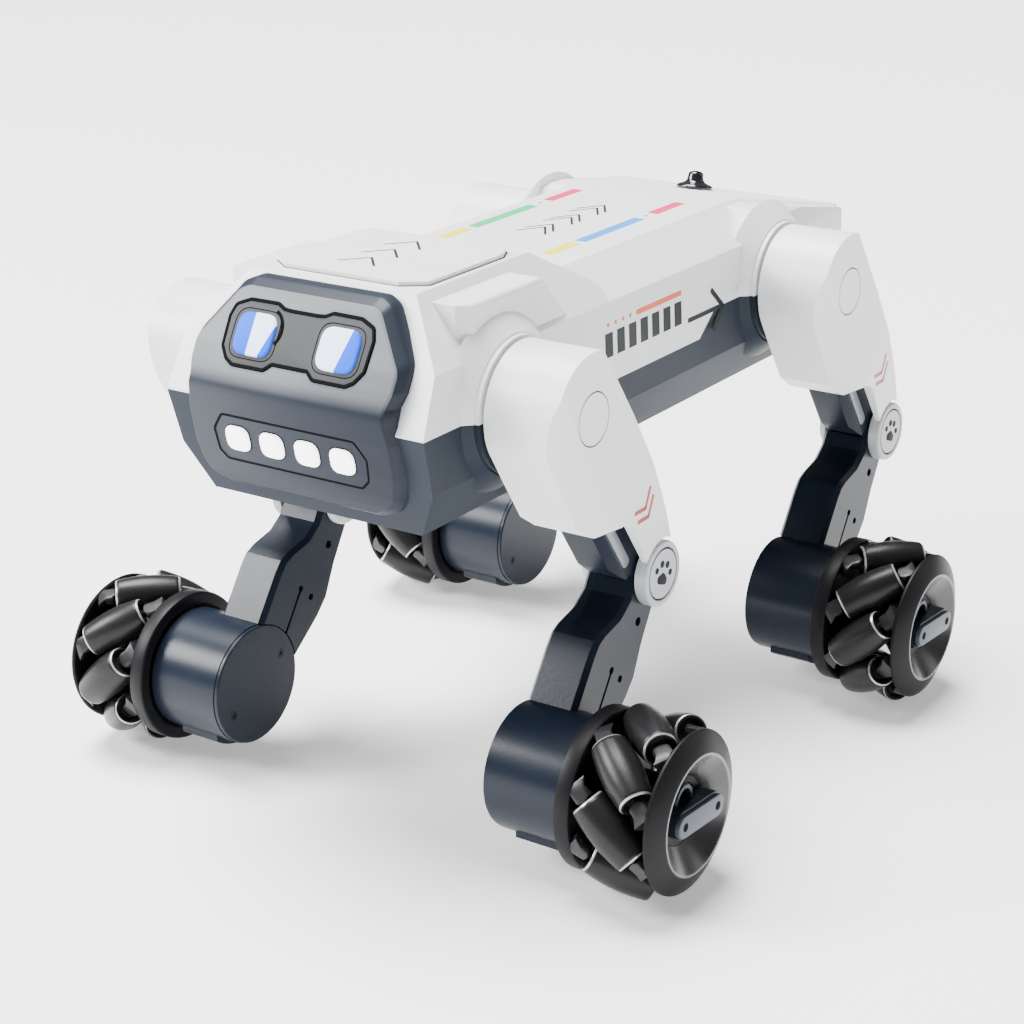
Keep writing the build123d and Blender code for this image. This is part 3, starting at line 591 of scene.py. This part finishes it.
def make_lamps():
    bm_line = bmesh.new()
    outline = [(26.0, 7.6), (30.0, 2.0), (29.4, -5.4), (26.5, -8.2), (-26.5, -8.2), (-29.4, -5.4), (-30.0, 2.0),
               (-26.0, 7.6)]
    # painted shade: a dark ribbon along the groove round the lamps
    ribbon(bm_line, rounded_outline(outline, 2.2, steps=4), 0.75, -0.3, 0.12)
    for number, x in enumerate((-20.6, -6.9, 6.9, 20.6)):
        shape = rounded_box(x, 0, 9.2, 8.5, 3.4)
        bm = bmesh.new()
        pad(bm, shape, -0.5, 1.0, 0.8, steps=4)
        add_object(bm, f"lamp_lens_{number + 1}", [LAMP], "chassis", MOUTH_PLACE, sharp=60)
        # painted shadow: a thin dark line round each lamp
        ribbon(bm_line, offset_outline(ccw(shape), 0.2), 0.35, -0.3, 0.16)
    add_object(bm_line, "lamp_groove_and_shadow_lines", [LINE], "chassis", MOUTH_PLACE)


make_goggle()
make_eyes()
make_lamps()


# ------------------------------------------------------------------ marks, hatch gap and button
def flat_mark(bm, outline):
    pad(bm, outline, MARK_LOW, MARK_HIGH, 0.03, steps=1)


def bar(x0, x1, y0, y1):
    return [(x0, y0), (x1, y0), (x1, y1), (x0, y1)]


DECK_Z, HEAD_Z, HATCH_Z = 178.0, 187.0, 188.4
DECK_LEFT_ROW, DECK_RIGHT_ROW = (16.8, 21.2), (-26.8, -22.4)
CHEVRON_LINE, MARK_LOW, MARK_HIGH = 0.9, -0.1, 0.06


def level_place(z):
    """Placing of a mark drawn in plan at a height."""
    return place(Matrix.Translation((0, 0, z)))


def make_deck_marks():
    rows = {
        "yellow": (bar(*DECK_RIGHT_ROW, -12.0, 3.2), bar(*DECK_LEFT_ROW, -12.8, 5.2)),
        "green": (bar(*DECK_RIGHT_ROW, 6.3, 44.5),),
        "blue": (bar(*DECK_LEFT_ROW, 8.0, 47.0),),
        "pink": (bar(*DECK_RIGHT_ROW, 54.3, 75.0), bar(*DECK_LEFT_ROW, 56.0, 75.5)),
    }
    for ink, outlines in rows.items():
        bm = bmesh.new()
        for outline in outlines:
            flat_mark(bm, outline)
        add_object(bm, "deck_bars_" + ink, [INKS[ink]], "chassis", level_place(DECK_Z))
    bm = bmesh.new()
    for y, x in ((49.3, -24.6), (51.6, 19.0)):
        flat_mark(bm, circle_outline(x, y, 0.7, 16))
    # three pairs of open chevrons between the rows
    for y in (10.0, 27.0, 44.0):
        for start in (y, y + 5.0):
            chevron = [(-8.5, start), (-2.5, start + 9.0), (3.5, start)]
            ribbon(bm, chevron, CHEVRON_LINE, MARK_LOW, MARK_HIGH, closed=False)
    add_object(bm, "deck_chevrons", [INKS["outline"]], "chassis", level_place(DECK_Z))
    bm = bmesh.new()
    for y in (-87.0, -75.0, -63.0):
        chevron = [(-10.0, y), (-3.0, y + 8.0), (4.0, y)]
        ribbon(bm, chevron, CHEVRON_LINE, MARK_LOW, MARK_HIGH, closed=False)
    add_object(bm, "hatch_chevrons", [INKS["outline"]], "chassis", level_place(HATCH_Z))


def make_hatch_gap():
    outline = [(22.0, -98.4), (29.6, -93.0), (29.6, -53.5), (26.5, -47.0), (-26.5, -47.0), (-29.6, -53.5),
               (-29.6, -93.0), (-22.0, -98.4)]
    bm = bmesh.new()
    # painted shade: a dark ribbon along the gap round the hatch
    ribbon(bm, offset_outline(ccw(outline), 0.3), 0.6, -0.5, 0.08)
    add_object(bm, "hatch_gap_shade", [SOCKET_AND_GAP_SHADE], "chassis", level_place(HEAD_Z))


def make_side_marks():
    """Bars, dots and an arrow on each flank, on the slightly leaning side wall."""
    lean = Vector((-(50.3 - 48.6), 0, 167.6 - 150.3)).normalized()
    for side, name in ((1, "left"), (-1, "right")):
        outward = Vector((lean.z, 0, -lean.x))
        spot = place(plane((50.3, 0, 150.3), (0, 1, 0), outward), side=side)
        dark, orange = bmesh.new(), bmesh.new()
        for k in range(7):
            y = -25.5 + 7.4 * k
            flat_mark(dark, [(y, -0.6), (y + 4.8, -0.6), (y + 5.6, 7.4), (y + 0.8, 7.4)])
        shaft, head = 1.7, 6.8
        flat_mark(dark, bar(28.0, 50.5, -0.6 - shaft / 2, -0.6 + shaft / 2))
        tip = [(52.0 - head, -0.6 + head), (52.0, -0.6), (52.0 - head, -0.6 - head)]
        ribbon(dark, tip, 2.1, MARK_LOW, 0.07, closed=False)
        flat_mark(orange, bar(-4.7, 24.9, 9.2, 11.0))
        for k in range(4):
            flat_mark(orange, circle_outline(-22.3 + 4.6 * k, 10.1, 0.75, 16))
        add_object(dark, "side_marks_dark_" + name, [INKS["dark"]], "chassis", spot)
        add_object(orange, "side_marks_orange_" + name, [INKS["orange"]], "chassis", spot)


def make_button():
    fall, run, back = 10.0, 51.0, 27.0
    tilt = math.atan2(fall, run)
    origin = (0, 119.0, DECK_Z - back * fall / run)
    profile = [(-5.5, 0), (-5.5, 3.0), (0.3, 3.0), (0.3, 6.7), (0.5, 6.95), (0.9, 7.0), (1.3, 6.75), (1.8, 5.9),
               (2.2, 4.7), (2.6, 3.9), (3.1, 3.4), (3.6, 3.2), (5.0, 3.0), (5.8, 2.85), (6.3, 2.4), (6.65, 1.6),
               (6.85, 0.7), (6.88, 0)]
    bm = bmesh.new()
    lathe(bm, profile, 48)
    spot = place(plane(origin, (1, 0, 0), (0, math.sin(tilt), math.cos(tilt))))
    button = add_object(bm, "power_button_cap", [GLOSS], "button", spot, sharp=50)
    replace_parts(button, "power_button")


make_deck_marks()
make_hatch_gap()
make_side_marks()
make_button()

# ------------------------------------------------------------------ leg details
HIP, KNEE = (3.9, 150.3), (50.5, 83.5)
THIGH_LENGTH = math.dist(HIP, KNEE)
AXLE_Z, WHEEL_X = 30.0, 104.3
COVER_X, LEAN_START, LEAN_RATE = 81.5, 40.0, 7.2 / 70.0
THIGH_MARK_LOW = 79.0


def limb(start, end):
    """Plane of a limb: local x along it, local y backward, local z outward."""
    along = Vector((0, end[0] - start[0], end[1] - start[1])).normalized()
    return plane((0, start[0], start[1]), along, (1, 0, 0))


THIGH = limb(HIP, KNEE)


def paw_print(bm, cx, cy, size, low, high):
    """A simple generic paw: one main pad and four toes."""
    main = [(-0.42, -0.30), (0.42, -0.30), (0.50, 0.02), (0.0, 0.34), (-0.50, 0.02)]
    heel = [(cx + size * x, cy + size * y) for x, y in rounded_outline(main, 0.22, steps=4)]
    pad(bm, heel, low, high, 0.1, steps=2)
    for tx, ty, r in ((-0.68, 0.36, 0.17), (-0.26, 0.72, 0.19), (0.26, 0.72, 0.19), (0.68, 0.36, 0.17)):
        pad(bm, circle_outline(cx + size * tx, cy + size * ty, size * r, 20), low, high, 0.1, steps=2)


def make_leg_details(leg):
    side, y = SIDES[leg], AXLES[leg].y - BASE_Y
    thigh = place(THIGH, side, y)
    # pale insert on the thigh frame
    bm = bmesh.new()
    pad(bm, rounded_box(56.6, -8.0, 21.2, 4.0, 1.95), 72.9, 74.0, 0.25)
    add_object(bm, leg + "_insert", [INSERT], leg + "_thigh", thigh)
    # knee cap with its ring and paw; the dark ring in the cap's groove is painted shade
    bm = bmesh.new()
    knee = Matrix.Translation((THIGH_LENGTH, 0, 0))
    profile = [(74.4, 0), (74.4, 11.2), (77.7, 11.2), (78.15, 11.1), (78.45, 10.8), (78.6, 10.3), (78.6, 9.1),
               (78.2, 9.0), (78.2, 8.4), (78.6, 8.3), (78.6, 0)]
    lathe(bm, profile, 72)
    cap_place = place(THIGH @ knee, side, y)
    add_object(bm, leg + "_knee_cap", [CAP_GREY], leg + "_thigh", cap_place, sharp=35)
    bm = bmesh.new()
    lathe(bm, [(78.3, 8.42), (78.32, 8.98), (78.25, 8.98), (78.25, 8.42)], 72)
    paw = bmesh.new()
    paw_print(paw, 0, -1.6, 6.6, 78.5, 78.74)
    join_into(bm, paw, Matrix.Rotation(math.radians(35), 4, "Z"))
    paw.free()
    add_object(bm, leg + "_paw_and_groove_shade", [MARK_AND_SHADE_GREY], leg + "_thigh", cap_place)
    # painted shade: a dark line in the round groove over the hip
    bm = bmesh.new()
    lathe(bm, [(81.05, 8.25), (81.3, 8.25), (81.3, 8.65), (81.05, 8.65)], 72)
    add_object(bm, leg + "_hip_groove_shade", [MARK_AND_SHADE_GREY], leg + "_thigh", thigh)
    # small double chevron on the cover's strut
    bm = bmesh.new()
    for s in (46.0, 50.5):
        ribbon(bm, [(s, -1.5), (s + 4.2, 4.0), (s, 9.5)], 1.5, THIGH_MARK_LOW, COVER_X, closed=False)
    marks = add_object(bm, leg + "_thigh_mark", [INKS["red"]], leg + "_thigh", thigh)
    follow_lean(marks, thigh)
    # socket screws in the motor's end cap
    bm = bmesh.new()
    for dy, dz in ((13.0, 7.0), (-13.0, -7.0)):
        screw = bmesh.new()
        lathe(screw, [(0, 0), (0, 1.65), (0.35, 1.65), (0.5, 1.5), (0.5, 0.95), (0.15, 0.85), (0.15, 0)], 24)
        join_into(bm, screw, plane((56.0, dy, AXLE_Z + dz), (0, 1, 0), (-1, 0, 0)))
        screw.free()
    add_object(bm, leg + "_cap_screws", [SCREW], leg + "_shin", place(None, side, y))


def follow_lean(obj, matrix):
    """Lay a mark on the cover's outer face, which leans in below the hip."""
    back = matrix.inverted()
    for v in obj.data.vertices:
        local = back @ v.co
        surface_x = COVER_X - max(0.0, local.x - LEAN_START) * LEAN_RATE
        local.z = surface_x + (0.07 if local.z > (THIGH_MARK_LOW + COVER_X) / 2 else -0.1)
        v.co = matrix @ local
    obj.data.update()


for leg in SIDES:
    make_leg_details(leg)

# ------------------------------------------------------------------ wheels
ROLLERS, ROLLER_TILT, ROLLER_AXIS_R, ROLLER_HALF, WHEEL_R = 8, math.radians(42.0), 23.15, 11.5, 30.0


def roller_radius(z):
    return WHEEL_R - math.hypot(ROLLER_AXIS_R, z * math.sin(ROLLER_TILT))


def roller_profile():
    """Barrel that follows the tread, with a pale rim and a sunk socket at each end; the rim's light metal tone
    is partly a painted highlight.
    """
    edge = ROLLER_HALF - 0.75
    barrel = [(edge * (1 - 2 * k / 24), roller_radius(edge * (1 - 2 * k / 24))) for k in range(25)]
    end = [(9.9, 1.5), (9.9, 3.3), (10.9, 3.9), (11.3, 4.4), (11.5, 4.75), (11.45, 5.2), (11.15, 5.5),
           (10.85, 5.62)]
    tones = [1, 1, 1, 1, 1, 2, 2, 0] + [0] * 24 + [0, 2, 2, 1, 1, 1, 1, 1]
    return end + barrel + [(-z, r) for z, r in reversed(end)], tones


def roller_matrix(leg, k):
    """Right-handed placing of roller k, local z along its axle."""
    joint = JOINTS[f"{leg}_roller_spin_{k + 1}"]
    axis = Vector(joint["axis"]).normalized()
    centre = Vector(joint["pos_m"])
    radial = centre - Vector(JOINTS[leg + "_wheel_spin"]["pos_m"])
    across = axis.cross(radial).normalized()
    m = Matrix((across.cross(axis).normalized(), across, axis)).transposed().to_4x4()
    m.translation = centre
    return m


def make_rollers(leg, mesh):
    for k in range(ROLLERS):
        obj = bpy.data.objects.new(f"{leg}_roller_{k + 1}_barrel", mesh)
        bpy.context.scene.collection.objects.link(obj)
        obj.matrix_world = roller_matrix(leg, k)
        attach(obj, f"{leg}_roller_{k + 1}")
        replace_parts(obj, f"{leg}_roller_{k + 1}")


def roller_mesh():
    bm = bmesh.new()
    profile, tones = roller_profile()
    lathe(bm, profile, 40, tones)
    bmesh.ops.scale(bm, vec=(MM, MM, MM), verts=bm.verts)
    bmesh.ops.recalc_face_normals(bm, faces=bm.faces)
    mesh = bpy.data.meshes.new("roller_barrel")
    bm.to_mesh(mesh)
    bm.free()
    mesh.polygons.foreach_set("use_smooth", [True] * len(mesh.polygons))
    mesh.set_sharp_from_angle(angle=math.radians(45))
    for material in (RUBBER, SOCKET_AND_GAP_SHADE, RIM_AND_HIGHLIGHT):
        mesh.materials.append(material)
    return mesh


ARM_LIMIT, ARM_INNER_X, ARM_OUTER_X = 0.0265, 0.0906, 0.1175
COUPLER_TURN = math.radians(-4.0)


def bracket_arm_profile(length):
    """Flared arm with a collar at the roller end."""
    collar = [(0, 0), (0, 2.2), (0.2, 2.7), (0.6, 3.0), (1.2, 3.0)]
    return collar + [(length * 0.55, 2.9), (length, 4.6), (length, 0)]


def make_wheel(leg):
    side, y = SIDES[leg], AXLES[leg].y - BASE_Y
    body = leg + "_wheel"
    spin = place(plane((0, 0, AXLE_Z), (0, 1, 0), (1, 0, 0)), side, y)
    # inner flange and spool
    flange = [(70.0, 0), (70.0, 3.0), (88.6, 3.0), (88.6, 20.0), (85.8, 22.2), (85.4, 22.8), (85.4, 26.2),
              (85.7, 26.7), (86.2, 26.8), (90.2, 26.8), (90.8, 26.5), (91.0, 26.0), (91.0, 24.6), (90.6, 24.4),
              (90.6, 17.0), (91.0, 16.0), (92.0, 12.0), (94.0, 10.0), (98.0, 9.5), (110.0, 9.5), (113.0, 10.0),
              (114.6, 12.0), (114.6, 0)]
    bm = bmesh.new()
    lathe(bm, flange, 96)
    hub = add_object(bm, leg + "_hub", [HUB], body, spin, sharp=30)
    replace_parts(hub, leg + "_wheel_hub")
    # outer ring with its polished outer cone, lip and inner dish; the lip's lighter metal tone is a painted
    # highlight
    ring = [(112.6, 10.2), (117.2, 15.0), (117.3, 15.5), (117.3, 25.6), (117.5, 26.3), (118.0, 26.7),
            (118.6, 26.6), (119.1, 26.2), (121.7, 20.5), (122.0, 19.9), (122.1, 19.5), (122.05, 19.2),
            (121.8, 18.9), (115.9, 11.6), (115.6, 10.9), (115.6, 9.0), (113.6, 8.6), (113.6, 8.4), (112.6, 8.4)]
    tones = [0, 0, 0, 0, 0, 0, 0, 0, 0, 2, 2, 2, 1, 0, 0, 0, 0, 0, 0]
    bm = bmesh.new()
    lathe(bm, ring, 128, tones)
    add_object(bm, leg + "_ring", [HUB, POLISH, LIP_HIGHLIGHT], body, spin, sharp=28)
    # bracket arms on both sides of every roller, and the pins
    arms, pins = bmesh.new(), bmesh.new()
    wheel = JOINTS[leg + "_wheel_spin"]["pos_m"]
    for k in range(ROLLERS):
        spot = roller_matrix(leg, k)
        for end, face_x in ((-1, 90.7), (1, 117.5)):
            reach = abs(face_x - WHEEL_X) / math.cos(ROLLER_TILT) - ROLLER_HALF - 0.4
            arm = bmesh.new()
            lathe(arm, bracket_arm_profile(reach), 24)
            turn = Matrix.Rotation(math.pi, 4, "X") if end < 0 else Matrix.Identity(4)
            scale = Matrix.Diagonal((MM, MM, MM, 1))
            join_into(arms, arm, spot @ turn @ scale @ Matrix.Translation((0, 0, ROLLER_HALF + 0.4)))
            arm.free()
    for v in arms.verts:
        # nothing stands out past the flange or the ring
        v.co.x = side * min(max(side * v.co.x, ARM_INNER_X), ARM_OUTER_X)
        reach = math.hypot(v.co.y - wheel[1], v.co.z - wheel[2])
        if reach > ARM_LIMIT:
            v.co.y = wheel[1] + (v.co.y - wheel[1]) * ARM_LIMIT / reach
            v.co.z = wheel[2] + (v.co.z - wheel[2]) * ARM_LIMIT / reach
    for k in range(ROLLERS):
        spot = roller_matrix(leg, k)
        pin = bmesh.new()
        lathe(pin, [(-13.0, 0), (-13.0, 1.3), (13.0, 1.3), (13.0, 0)], 16)
        join_into(pins, pin, spot @ Matrix.Diagonal((MM, MM, MM, 1)))
        pin.free()
    add_object(arms, leg + "_arms", [STEEL], body, None, sharp=30)
    add_object(pins, leg + "_pins", [STEEL], body, None, sharp=30)
    # coupler: navy block in the dish, ring boss behind it, and the pale plate with two holes
    tilt = Matrix.Rotation(COUPLER_TURN, 4, "Z")
    local = plane((0, 0, AXLE_Z), (0, 1, 0), (1, 0, 0)) @ tilt
    bm = bmesh.new()
    pad(bm, rounded_box(0, 0, 25.0, 9.6, 3.4), 113.7, 121.8, 0.5)
    add_object(bm, leg + "_coupler_block", [NAVY], body, place(local, side, y), sharp=35)
    bm = bmesh.new()
    boss = [(113.7, 0), (113.7, 5.4), (118.2, 5.4), (118.6, 5.0), (118.6, 3.9), (118.2, 3.6), (116.2, 3.6),
            (116.2, 0)]
    lathe(bm, boss, 48)
    boss_place = place(local @ Matrix.Translation((-3.4, 5.4, 0)), side, y)
    add_object(bm, leg + "_coupler_boss", [NAVY], body, boss_place, sharp=35)
    bm = bmesh.new()
    outline = arc_points(-10.1, 0, 3.7, 90, 270, 14) + arc_points(10.1, 0, 3.7, -90, 90, 14)
    pad(bm, outline, 121.5, 123.12, 0.3)
    add_object(bm, leg + "_coupler_plate", [PLATE], body, place(local, side, y), sharp=35)
    # painted shade: near-black discs on the plate stand in for its two holes
    bm = bmesh.new()
    for x in (-10.0, 10.0):
        pad(bm, circle_outline(x, 0, 1.45, 24), 122.6, 123.18, 0.02, steps=1)
    add_object(bm, leg + "_coupler_hole_shade", [LINE], body, place(local, side, y))


barrel = roller_mesh()
for leg in SIDES:
    make_rollers(leg, barrel)
    make_wheel(leg)

make_camera()
make_studio()
